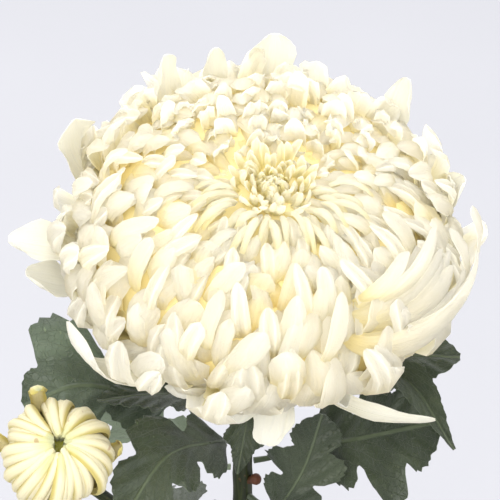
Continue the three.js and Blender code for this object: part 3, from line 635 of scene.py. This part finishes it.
def ray_petals(count):
    """Narrow petals side by side on the near side of the crown."""
    share, own = in_row(count)
    return petals(
        azimuth=np.radians(188 + 166 * share + own(71, -3, 3)), spread=own(72, 12, 21),
        length=own(73, 10, 17), above=own(74, 0.5, 4), width=own(75, 2.4, 3.6), cup=own(76, 0.5, 0.8),
        twist=np.radians(own(77, -20, 20)), sweep=own(78, -0.15, 0.15),
        claw=0.6, widest=0.5, round=own(79, 0.7, 0.85), crease=0.1, tone=3,
    )


def fan_petals(count):
    """Long petals that sweep round the lifted side, from under its near end up to the right."""
    share, own = in_row(count)
    return petals(
        azimuth=np.radians(297 + 5 * share + own(81, -4, 4)), sweep=np.radians(own(87, 38, 58) - 16 * share),
        polar=np.radians(77 - 36 * share + own(80, -4, 4)), climb=np.radians(-13 + 26 * share),
        bend=own(82, 1, 1.3), root=0.8, reach=own(83, 1.05, 1.1), rise=2.2, hood=own(84, 0.02, 0.08),
        width=own(85, 7.5, 10.5), cup=own(86, 0.35, 0.6), twist=np.radians(own(88, -20, 20)),
        round=own(89, 0.66, 0.86), ripple=1.2, crease=0.2, wrapped=1, ragged=0.04,
    )


def under_petals(count):
    """The underside's petals: out from the receptacle and up round the edge, in the same spiral."""
    share, own = in_row(count)
    return petals(
        azimuth=np.arange(count) * GOLDEN_ANGLE + own(91, 0, 0.2), sweep=own(98, -0.2, 0.2),
        base_radius=9, base_height=-24 + 3 * share, base_angle=np.radians(-12 + 20 * share),
        tip_radius=own(92, 63, 67) - 9 * share, tip_height=own(93, -12, -4) + 3 * share,
        tip_angle=np.radians(own(94, 62, 92)), width=own(95, 12, 16), cup=own(96, 0.25, 0.45),
        twist=np.radians(own(97, -15, 15)), claw=0.3, round=own(99, 0.74, 0.86), ripple=1.3, crease=0.1,
        ribbed=0.05, start=0.1, ragged=0.04, tone=0.8,
    )


# Petals placed one by one: azimuth, tip radius, tip height, tip angle, width, base angle, cup, sweep and
# where the tip starts to close, in degrees and millimetres
LOOSE_PETALS = [
    (184, 85, -6, 10, 19, -5, 0.25, 0, 0.72),
    (192, 80, -10, 40, 17, -5, 0.3, 0, 0.75),
    (159, 71, 20, 106, 17, -5, 0.3, 0, 0.86),
    (90, 62, 30, 88, 17, -5, 0.3, 0, 0.88),
    (110, 58, 29, 95, 9, -5, 0.4, 0, 0.9),
    (127, 61, 30, 92, 11, -5, 0.4, 0, 0.88),
    (45, 65, 29, 88, 12, -5, 0.4, 0, 0.88),
    (14, 68, 14, 76, 14, -5, 0.4, 0, 0.86),
    (339, 69, 3, 85, 11, -22, 0.5, 0, 0.72),
    (237, 73, -9, 100, 12, -22, 0.4, -28, 0.6),
    (290, 76, -40, -10, 8, -25, 0.5, 34, 0.5),
    (299, 60, -24, 35, 10, -28, 0.6, 0, 0.75),
    (281, 61, -36, -55, 14, -12, 0.2, -8, 0.8),
    (262, 61, -25, -40, 19, 0, 0.35, 0, 0.82),
    (243, 59, -17, 105, 12, -20, 0.5, 0, 0.72),
]
BUD_LOOSE = [
    (112, 19, 14, 150, 6.5, 0, 0.5, 0, 0.8),
    (168, 25, 6, 78, 6, 0, 0.5, 0, 0.7),
    (8, 21, 3, 105, 7, 0, 0.5, 0, 0.8),
]
POINTED = 0.6  # a tip that starts to close here or sooner is pointed


def loose_petal(row, base_radius, base_height):
    """One petal from a row of the tables above."""
    azimuth, tip_radius, tip_height, tip_angle, width, base_angle, cup, sweep, closing = row
    return petals(
        azimuth=[math.radians(azimuth)], sweep=math.radians(sweep), base_radius=base_radius,
        base_height=base_height, base_angle=math.radians(base_angle), tip_radius=tip_radius,
        tip_height=tip_height, tip_angle=math.radians(tip_angle), width=width, cup=cup, widest=0.55,
        round=closing, blunt=3 if closing > POINTED else 1.6, wave=0.22, ripple=1.3, crease=0.06,
        ribbed=0.08, frill=0.3, ragged=0.13, start=0.15,
    )


def bloom_pieces():
    """The bloom: its spiral with two fillings below it, the deeper one more golden as painted shade in the
    gaps between petals; the fan and the underside; the loose petals; and the crater's florets, side and
    rays."""
    seat = ("bloom", "bloom_petals", BLOOM_AXIS, BLOOM_CENTRE)
    spiral = spiral_petals(350, 50, 350, 92, 1.35, 0)
    filling = spiral_petals(280, 50, 280, 93, 1.1, 0.8, turned_on=1, deeper=0.035, wider=1.35, tone=-0.2)
    # This deeper layer is more golden so that the gaps between petals look golden: painted shade.
    golden = spiral_petals(280, 36, 150, 93, 1.1, 0.8, turned_on=2.3, deeper=0.08, wider=1.5, tone=-2)
    petal_piece("bloom_petals_cream", [
        (spiral, climbing_line, 9, 5),
        (filling, climbing_line, 7, 4),
        (golden, climbing_line, 7, 4),
        (fan_petals(15), climbing_line, 18, 6),
        (under_petals(64), loose_line, 12, 5),
    ], petal_finish, *seat)
    loose = [(loose_petal(row, 10, -20), loose_line, 18, 7) for row in LOOSE_PETALS]
    # The loose petals wear the finish with painted shade.
    petal_piece("bloom_petals_loose", loose, shaded_thin_petal_finish, *seat)
    petal_piece("bloom_florets", [
        (centre_petals(46, widest=7, lean=0.5, broad=1.9, tone=-2.2), floret_line, 9, 4),
        (centre_petals(80, widest=19, lean=5, broad=3.3, tone=-0.2), crater_line, 10, 4),
        (ray_petals(30), ray_line, 10, 4),
    ], floret_finish, *seat)


def turned(section, sides):
    """A closed surface of a section of (radius, height) points turned about z, its ends on the axis."""
    section = np.asarray(section, float)
    angle = np.linspace(0, 2 * math.pi, sides, endpoint=False)
    radius = np.maximum(section[:, :1], 0.02)
    spot = stacked(angle / (2 * math.pi), np.linspace(0, 1, len(section))[:, None])
    return stacked(radius * np.cos(angle), radius * np.sin(angle), section[:, 1:]), spot


def bloom_core_piece():
    """The bloom's hidden middle: its round at a small share, with a raised crown, closed at the calyx."""
    polar = np.radians(np.linspace(120, 0, 24))
    line = np.stack(bloom_round(polar, CORE_SHARE + 0.16 * bell(polar, 0.17)), -1)
    points, spot = turned(np.concatenate([[(0, CALYX_TOP), (12.5, CALYX_TOP)], line]), 48)
    core = Skins().add(seated(points, BLOOM_AXIS, BLOOM_CENTRE), spot * [1, 0.3], outer_face=0, own_tone=0.3)
    core.piece("bloom_core", core_finish, "bloom", "bloom_petals")


bloom_pieces()
bloom_core_piece()


# The bud

def bud_ribs(count, reach, turn, width):
    """Closed petals of the bud, side by side round it, each winding a little about the axis."""
    own = chance(count)
    return petals(
        azimuth=2 * math.pi * (np.arange(count) + turn) / count + own(41, -0.07, 0.07),
        reach=reach + own(42, -0.055, 0.055), sweep=np.radians(own(43, 3, 33)),
        width=width * own(44, 0.85, 1.2), twist=np.radians(own(45, -3, 31)), cup=own(46, 0.62, 0.82),
        hole=own(47, 0.06, 0.2), claw=0.5, widest=0.5, round=0.7, wave=0.03, ripple=1, ribbed=0.05,
        start=0.06,
    )


def bud_pieces():
    """The bud: two rounds of ribs, three petals that stand off it, and an egg inside that its hole shows."""
    groups = [
        (bud_ribs(25, reach=1, turn=0, width=5.4), bud_line, 22, 7),
        (bud_ribs(25, reach=0.93, turn=0.5, width=4.8), bud_line, 18, 5),
        *((loose_petal(row, 4, -10), loose_line, 14, 6) for row in BUD_LOOSE),
    ]
    petal_piece("bud_petals_pale", groups, bud_finish, "bud", "bud_petals", BUD_AXIS, BUD_CENTRE)
    angle = np.linspace(-math.pi / 2, math.pi / 2, 16)
    points, spot = turned(stacked(BUD_RADIUS * 0.72 * np.cos(angle), BUD_HEIGHT * 0.3 * np.sin(angle)), 32)
    egg = Skins().add(seated(points, BUD_AXIS, BUD_CENTRE), spot * [1, 0.05], outer_face=0, own_tone=0.5)
    egg.piece("bud_core", bud_heart_finish, "bud", "bud_petals")


bud_pieces()


# Routes, with the speed law of the solid model's curves

class Route:
    """A centripetal Catmull-Rom curve through points, measured out by length."""

    def __init__(self, points, steps=60):
        points = np.asarray(points, float)
        control = np.concatenate([[2 * points[0] - points[1]], points, [2 * points[-1] - points[-2]]])
        pieces = []
        for level in zip(control, control[1:], control[2:], control[3:]):
            gaps = [max(np.linalg.norm(b - a), 1e-6) ** 0.5 for a, b in zip(level, level[1:])]
            knots = np.cumsum([0, *gaps])
            t = np.linspace(knots[1], knots[2], steps, endpoint=False)[:, None]
            for spans in (zip(knots, knots[1:]), zip(knots, knots[2:]), [(knots[1], knots[2])]):
                level = [
                    a * (high - t) / (high - low) + b * (t - low) / (high - low)
                    for (low, high), a, b in zip(spans, level, level[1:])
                ]
            pieces.append(level[0])
        self.points = np.concatenate(pieces + [points[-1:]])
        length = np.cumsum([0, *np.linalg.norm(np.diff(self.points, axis=0), axis=1)])
        self.length = length[-1]
        self.share = length / self.length

    def at(self, u):
        """Points at shares u of the length."""
        return np.stack([np.interp(u, self.share, self.points[:, i]) for i in range(3)], -1)

    def heading(self, u):
        """Unit directions at shares u."""
        return unit(self.at(np.minimum(u + 0.004, 1)) - self.at(np.maximum(u - 0.004, 0)))


def tube(route, rows, sides, radius):
    """Rings round a route, each turned from the one before only as far as the route bends. radius is a
    function of the share along the route and the angle round it."""
    u = np.linspace(0, 1, rows)
    heading = route.heading(u)
    side = [unit([1.0, 0.02, 0] - heading[0] * np.dot([1.0, 0.02, 0], heading[0]))]
    for direction in heading[1:]:
        side.append(unit(side[-1] - direction * np.dot(side[-1], direction)))
    side = np.array(side)[:, None]
    other = np.cross(heading, side[:, 0])[:, None]
    angle = np.linspace(0, 2 * math.pi, sides, endpoint=False)[None, :]
    size = radius(u[:, None], angle)[..., None]
    ring = size * (side * np.cos(angle)[..., None] + other * np.sin(angle)[..., None])
    return route.at(u)[:, None] + ring, stacked(angle / (2 * math.pi), u[:, None] * route.length / 30)


def add_calyx(skins, radius, depth, bracts, axis, seat):
    """Adds a turned cup and two rows of pointed bracts, each a thin blade along a line that leans out."""
    profile = np.array([(0.35, -1), (0.7, -0.72), (0.92, -0.35), (0.99, -0.05), (0.96, 0)]) * [radius, depth]
    points, spot = turned([(0, -depth), *profile, (0, 0)], 40)
    skins.add(seated(points, axis, seat), spot, reddish=0)
    row, number = np.divmod(np.arange(2 * bracts), bracts)
    row = row[:, None]
    turn = 2 * math.pi * (number[:, None] + 0.5 * row) / bracts
    out = stacked(np.cos(turn), np.sin(turn), 0)
    across = stacked(-np.sin(turn), np.cos(turn), 0)
    v = np.linspace(0, 1, 9)
    line_radius = radius * (0.5 + 0.55 * v + 0.08 * row + 0.1 * v * v)
    line_height = depth * (-0.95 + 0.2 * row + (0.72 - 0.04 * row) * v ** 1.4)
    centre = out * line_radius[..., None] + UP * line_height[..., None]
    closing = np.sqrt(np.clip(1 - (2 * np.clip(v, 0.25, 1) - 1.05) ** 2, 0.01, 1))
    half = radius * 2.3 / bracts * closing[:, None]
    place = np.array([-1, -0.5, 0, 0.5, 1, 1, 0.5, 0, -0.5, -1])
    lift = np.repeat([0.25, -0.25], 5) - 0.25 * place ** 2 * half
    lean = unit(out - UP / 2)[:, :, None]
    blades = centre[:, :, None] + across[:, :, None] * (place * half)[..., None] + lean * lift[..., None]
    skins.add(seated(blades, axis, seat), stacked(np.linspace(0, 1, 10), v[:, None]), reddish=0)


# Stems

stem_top = np.array(BLOOM_CENTRE) + unit(BLOOM_AXIS) * (CALYX_BOTTOM - GAP)
stem_route = Route([
    (5, 15, VASE_FLOOR + GAP), (4, 7, 70), (1, -4, 135), (-1.5, -10.7, 186), (-3, -12.8, 240),
    (-3.5, -12.6, 290), (-2.6, -14, 325), stem_top,
])


def stem_at(z):
    """The stem's point at a height."""
    return np.array([np.interp(z, stem_route.points[:, 2], line) for line in stem_route.points.T])


def stem_radius(u, angle):
    """Radius of the stem: it narrows upwards, has five ridges, and swells at leaf nodes and the calyx."""
    swell = 1.6 * bell(1 - u, 0.03) + 0.22 * sum(bell(u - spot, 0.006) for spot in LEAF_NODES)
    ridge = 1 + 0.035 * np.cos(5 * angle) + 0.012 * np.cos(11 * angle + 40 * u)
    return (STEM_FOOT + (STEM_TOP - STEM_FOOT) * u + swell) * ridge


def stub_radius(u, angle):
    """Radius of the pinched side shoot: a short neck and a bulging, pointed end."""
    return 1.5 + 0.7 * bell(u - 0.78, 0.16) - 1.3 * np.clip((u - 0.85) / 0.15, 0, 1) ** 2


def bud_stem_radius(u, angle):
    """Radius of the bud's stem: it narrows upwards and has five faint ridges."""
    return BUD_STEM_RADIUS * (1.1 - 0.15 * u) * (1 + 0.04 * np.cos(5 * angle))


def stem_pieces():
    """The main stem with its pinched shoot and the bloom's calyx, and the bud's stem with its calyx."""
    stem = Skins()
    stem.add(*tube(stem_route, 150, 40, stem_radius), reddish=0)
    stub_route = Route(stem_at(STUB_HEIGHT) + [(0, 0, 0), (3, -2.5, 1.6), (6.4, -5.2, 4.2)])
    stem.add(*tube(stub_route, 14, 16, stub_radius), reddish=np.linspace(0.2, 1, 14)[:, None])
    seat = np.array(BLOOM_CENTRE) + unit(BLOOM_AXIS) * (CALYX_TOP - GAP)
    add_calyx(stem, CALYX_RADIUS, CALYX_TOP - CALYX_BOTTOM, 11, BLOOM_AXIS, seat)
    stem.piece("stem_and_calyx", stem_finish, "stem", "main_stem")

    bud_seat = np.array(BUD_CENTRE) + unit(BUD_AXIS) * (BUD_HEIGHT * -0.5 - GAP)
    start = stem_at(BUD_STEM_HEIGHT) - [3.9, 0, 0]
    bud_route = Route([
        start, start + [-4, 0, 0.8], (-20, -25, 262), (-42, -37, 278), (-57, -47, 298),
        bud_seat - unit(BUD_AXIS) * 3.6,
    ])
    bud_stem = Skins()
    bud_stem.add(*tube(bud_route, 60, 20, bud_stem_radius), reddish=0)
    add_calyx(bud_stem, BUD_CALYX_RADIUS, BUD_CALYX_DEPTH, 9, BUD_AXIS, bud_seat)
    bud_stem.piece("bud_stem_and_calyx", stem_finish, "stem", "bud_stem")


stem_pieces()


# Leaves: their outlines as places along the blade and half widths, both as shares

LOBED = [
    (0, 0.1), (0.09, 0.22), (0.15, 0.6), (0.25, 0.74), (0.32, 0.62), (0.38, 0.28), (0.45, 0.84), (0.53, 1),
    (0.61, 0.9), (0.66, 0.4), (0.74, 0.66), (0.84, 0.56), (0.93, 0.34), (1, 0.06),
]
BROAD = [
    (0, 0.1), (0.12, 0.2), (0.24, 0.5), (0.34, 0.58), (0.42, 0.44), (0.48, 0.34), (0.56, 0.8), (0.66, 1),
    (0.74, 0.94), (0.8, 0.36), (0.86, 0.4), (0.93, 0.3), (1, 0.06),
]
NARROW = [
    (0, 0.1), (0.16, 0.5), (0.26, 0.44), (0.38, 0.9), (0.48, 0.7), (0.6, 1), (0.7, 0.56), (0.84, 0.42),
    (1, 0.05),
]
ARCH = [
    (0, 0.1), (0.14, 0.5), (0.26, 0.8), (0.4, 1), (0.52, 0.86), (0.64, 0.6), (0.76, 0.4), (0.88, 0.22),
    (1, 0.05),
]
BLADE_START = 0.24
LOBE_SWEEP = 0.16
STALK_RADIUS = 1.2
STALK_END = 0.4
LEAF_ROWS = 76
LEAF_COLUMNS = 19
VEINS = 6
# name, height on the stem, midrib, half width, the way the upper side faces, fold in degrees, outline
LEAVES = [
    ("left_high", 317, [(-39, -29, 325), (-61, -38, 334), (-78, -46, 331)], 27, (0, -0.55, 0.8), 8, BROAD),
    ("left_pale", 282, [(-18, -14, 289), (-37, -14, 301), (-58, -14, 314)], 19, (0.1, 0.9, 0.3), 6, LOBED),
    ("left_dark", 311, [(-20, -28, 323), (-35, -37, 330), (-53, -44, 332)], 12, (0, -0.2, 0.97), 14, NARROW),
    ("front", 299, [(-13, -43, 314), (-29, -65, 323), (-43, -86, 312)], 17, (0.2, -0.6, 0.75), 8, LOBED),
    ("front_hanging", 322, [(-1, -36, 325), (-5, -51, 306)], 8, (0.1, -0.9, 0.4), 20, NARROW),
    ("right_high", 305, [(20, -16, 320), (50, -18, 333), (73, -21, 335)], 16, (0, -0.4, 0.9), 8, LOBED),
    ("right_curled", 311, [(22, -25, 325), (51, -35, 336), (69, -56, 320)], 12, (-0.1, -0.3, 0.9), 32, ARCH),
    ("right_large", 284, [(16, -9, 287), (38, -18, 298), (67, -30, 314)], 26, (-0.2, -0.75, 0.6), 6, LOBED),
    ("right_upright", 271, [(9, -29, 276), (18, -29, 291), (25, -25, 313)], 16, (0.2, -0.9, 0.3), 8, LOBED),
    ("low_left", 250, [(-14, -37, 256), (-38, -55, 256), (-60, -68, 243)], 21, (-0.1, -0.2, 0.95), 8, LOBED),
    ("low_right", 250, [(16, -33, 262), (42, -45, 266), (66, -55, 252)], 20, (0.1, -0.2, 0.95), 8, LOBED),
    ("low_back", 228, [(-12, -5, 238), (-30, 19, 242), (-46, 39, 230)], 19, (-0.1, 0.2, 0.95), 8, LOBED),
    ("back_right", 254, [(12, 0, 263), (31, 17, 266), (52, 33, 257)], 19, (0.1, 0.25, 0.95), 8, LOBED),
]
# Two leaves wear paler copies of the leaf finish: painted light.
LEAF_FINISHES = {"left_pale": lit_pale_leaf_finish, "left_high": lit_sage_leaf_finish}


def half_widths(outline, place, number, hand):
    """A leaf's half widths: the outline's points joined smoothly, with small forward teeth on the lobes."""
    kernel = np.hanning(7) / np.hanning(7).sum()
    base = np.convolve(np.pad(np.interp(place, *zip(*outline)), 3, mode="edge"), kernel, "valid")
    phase = place * 21 + number * 0.37 + hand * 0.21
    tooth = (phase - np.floor(phase)) ** 1.6
    grown = smooth(0.1, 0.2, place) * smooth(1.02, 0.94, place)
    uneven = 1 + 0.08 * np.sin(place * 9 + number * 2.1 + hand)
    return (base * (uneven + 0.1 * (tooth - 0.4) * grown))[:, None]


def leaf_piece(number, name, height, midrib, width, face, fold, outline):
    """A leaf as one closed blade on a grid, and its stalk.

    Across, at s from -1 to 1, a row runs from edge to edge, folded up along the midrib and drooping towards
    the edge. Along, it follows the midrib's route. Low waves grow towards the edges, and the side veins lie
    in shallow grooves between pillows."""
    seat = stem_at(height)
    away = unit([midrib[0][0] - seat[0], midrib[0][1] - seat[1], 0])
    standoff = (STEM_FOOT + (STEM_TOP - STEM_FOOT) * height / stem_top[2]) * 1.04 + GAP + 0.34
    start = seat + away * standoff
    route = Route([start, start + away * 4, *midrib])
    place = np.linspace(0, 1, LEAF_ROWS)
    u = BLADE_START + (1 - BLADE_START) * place
    centre, ahead = route.at(u), route.heading(u)
    side = unit(np.cross(ahead, unit(face)))
    normal = np.cross(side, ahead)[:, None]
    left, right = (half_widths(outline, place, number, hand) for hand in (0, 1))
    place = place[:, None]
    s = np.linspace(-1, 1, LEAF_COLUMNS)[None, :]
    half = np.where(s < 0, left, right) * width
    w = np.abs(s) * half

    vein = (place - 0.375 * w / width) * VEINS
    groove = -0.7 * bell(vein - np.floor(vein) - 0.5, 0.13) * np.minimum(1, w / 3)
    pillow = 0.5 * np.sin(vein * 2 * math.pi) * np.minimum(1, w / 4)
    wave = 0.07 * half * np.sin(place * 13 + number + s * 1.2) * s ** 2
    fold = math.radians(fold)
    folded = w * math.sin(fold) - w * w * 0.12 / width
    high = folded + wave + groove + pillow - 0.5 * bell(w, 1.1)
    points = (
        centre[:, None] + side[:, None] * (np.sign(s) * w * math.cos(fold))[..., None]
        + ahead[:, None] * (w * LOBE_SWEEP)[..., None] + normal * high[..., None]
    )
    thick = (0.42 + 0.5 * bell(w, 1.6) * (1.05 - place))[..., None]
    upper, lower = points + normal * thick * 0.35, points - normal * thick * 0.65
    spot = stacked(0.5 + 0.5 * np.sign(s) * w / width, place)
    blade = np.concatenate([upper, lower[:, ::-1]], 1)[:, ::-1]
    leaf = Skins()
    under = np.repeat([1.0, 0.0], LEAF_COLUMNS)
    leaf.add(blade, np.concatenate([spot, spot[:, ::-1]], 1)[:, ::-1], under_face=under)

    def stalk_radius(u, angle):
        return STALK_RADIUS * (1 - 0.75 * u) * (1 + 0.06 * np.cos(3 * angle))

    stalk, _ = tube(Route(route.at(np.linspace(0, STALK_END, 6))), 24, 12, stalk_radius)
    leaf.add(stalk, (0.44, 0.02), under_face=0.3)
    leaf.piece(f"leaf_{name}_blade", LEAF_FINISHES.get(name, leaf_finish), "leaf", f"leaf_{name}")


for number, leaf in enumerate(LEAVES):
    leaf_piece(number, *leaf)


# The vase and its water: outside and inside as (radius, height), from the foot up and from the lip down

VASE_OUTSIDE = [
    (37, 0), (39.4, 0.8), (40.2, 3), (42.6, 28), (45, 62), (43.2, 84), (40, 98), (36, 108), (30, 120),
    (23.5, 131), (19.6, 140), (17.4, 150), (17, 160), (17.2, 174), (18, 188), (19.6, 195), (21, 198.6),
    (20.4, 199.8),
]
VASE_INSIDE = [
    (19.6, 200), (18.6, 198.8), (16.6, 194), (15.2, 187), (14.4, 173), (14.4, 158), (15.2, 148),
    (17.4, 138.4), (21.6, 129), (28, 118.6), (33.6, 108), (37.4, 98), (40.4, 84), (42.2, 62), (39.6, 28),
    (37.2, 14), (34, 10), (30, VASE_FLOOR),
]
FOOT_FLAT = 30  # a radius on the flat under the foot
FLOOR_FLAT = 12  # a radius on the flat floor inside


def eased(points):
    """A section's points joined by a Catmull-Rom curve."""
    return Route([(r, 0, z) for r, z in points], steps=6).points[:, [0, 2]]


def vase_pieces():
    """The vase, its outside and inside turned about Z as one closed skin, and the water, whose section is
    the inside a hair into the glass, up to the level, with a slight rim."""
    inside = eased(VASE_INSIDE)
    floor = [(FLOOR_FLAT, VASE_FLOOR), (0, VASE_FLOOR)]
    section = np.concatenate([[(0, 0), (FOOT_FLAT, 0)], eased(VASE_OUTSIDE), inside, floor])
    Skins().add(*turned(section, VASE_SIDES)).piece("vase_glass_bottle", glass_finish, "glass", "vase")

    below = inside[inside[:, 1] < WATER_LEVEL - 1.2][::-1]
    wet = below + stacked(OVERLAP, np.where(below[:, 1] < VASE_FLOOR + 2, -OVERLAP, 0))
    edge = np.interp(WATER_LEVEL, inside[::-1, 1], inside[::-1, 0]) + OVERLAP
    rim = [(edge, 0), (edge - 0.5, -0.6), (edge - 2, -1.1), (0, -1.2)] + np.array([0, WATER_LEVEL])
    section = np.concatenate([floor[::-1] - np.array([0, OVERLAP]), wet, rim])
    Skins().add(*turned(section, VASE_SIDES)).piece("vase_water_body", water_finish, "water", "water")


vase_pieces()


# Floor, light and camera

def floor_piece():
    """A wide pale floor under the vase."""
    mesh = bpy.data.meshes.new("studio_floor")
    half = 8
    corners = [(-half, -half, 0), (half, -half, 0), (half, half, 0), (-half, half, 0)]
    mesh.from_pydata(corners, [], [(0, 1, 2, 3)])
    mesh.materials.append(floor_material())
    floor = placed("studio_floor", mesh)


def soft_light(name, place, aim, size, power, colour):
    """A square area light at a place, turned to a point, in metres and watts."""
    data = bpy.data.lights.new(name, "AREA")
    data.shape = "SQUARE"
    data.size = size
    data.energy = power
    data.color = colour
    light = placed(name, data)
    light.location = place
    light.rotation_euler = (Vector(aim) - Vector(place)).to_track_quat("-Z", "Y").to_euler()


def studio_air(colour, strength):
    """An even, pale light from all round."""
    sky = bpy.data.worlds.new("studio_air")
    bpy.context.scene.world = sky
    sky.use_nodes = True
    air = sky.node_tree.nodes["Background"].inputs
    air["Color"].default_value = (*colour, 1)
    air["Strength"].default_value = strength


floor_piece()
studio_air((0.93, 0.935, 0.97), 1.5)
soft_light("key_over_camera", (-0.45, -1.5, 1.6), (0, 0, 0.36), 1.6, 34, (1, 0.99, 0.97))
soft_light("fill_right", (1.5, -0.7, 1.2), (0, 0, 0.36), 1.4, 12, (0.98, 0.985, 1))
soft_light("fill_low", (0, -1.3, 0.12), (0, 0, 0.38), 0.9, 7, (1, 0.99, 0.95))
soft_light("back_above", (-0.4, 1, 1.7), (0, 0, 0.36), 1.4, 14, (1, 1, 1))

# The camera stands where the photograph's did: 30 degrees above the bloom, 750 mm from it
AIM = Vector((-0.66, -37.5, 387.7)) * MM
DISTANCE = 0.75
ELEVATION = math.radians(30)
MM_PER_PIXEL = 0.333
FRAME_PIXELS = 500
SENSOR = 36
camera_data = bpy.data.cameras.new("photo_view")
camera_data.sensor_width = SENSOR
camera_data.lens = SENSOR * DISTANCE / (FRAME_PIXELS * MM_PER_PIXEL * MM)
camera_data.clip_start = 0.01
camera_data.clip_end = 50
camera = placed("photo_view", camera_data)
look = Vector((0, math.cos(ELEVATION), -math.sin(ELEVATION)))
camera.location = AIM - look * DISTANCE
camera.rotation_euler = look.to_track_quat("-Z", "Y").to_euler()
bpy.context.scene.camera = camera
bpy.context.scene.view_settings.view_transform = "Standard"
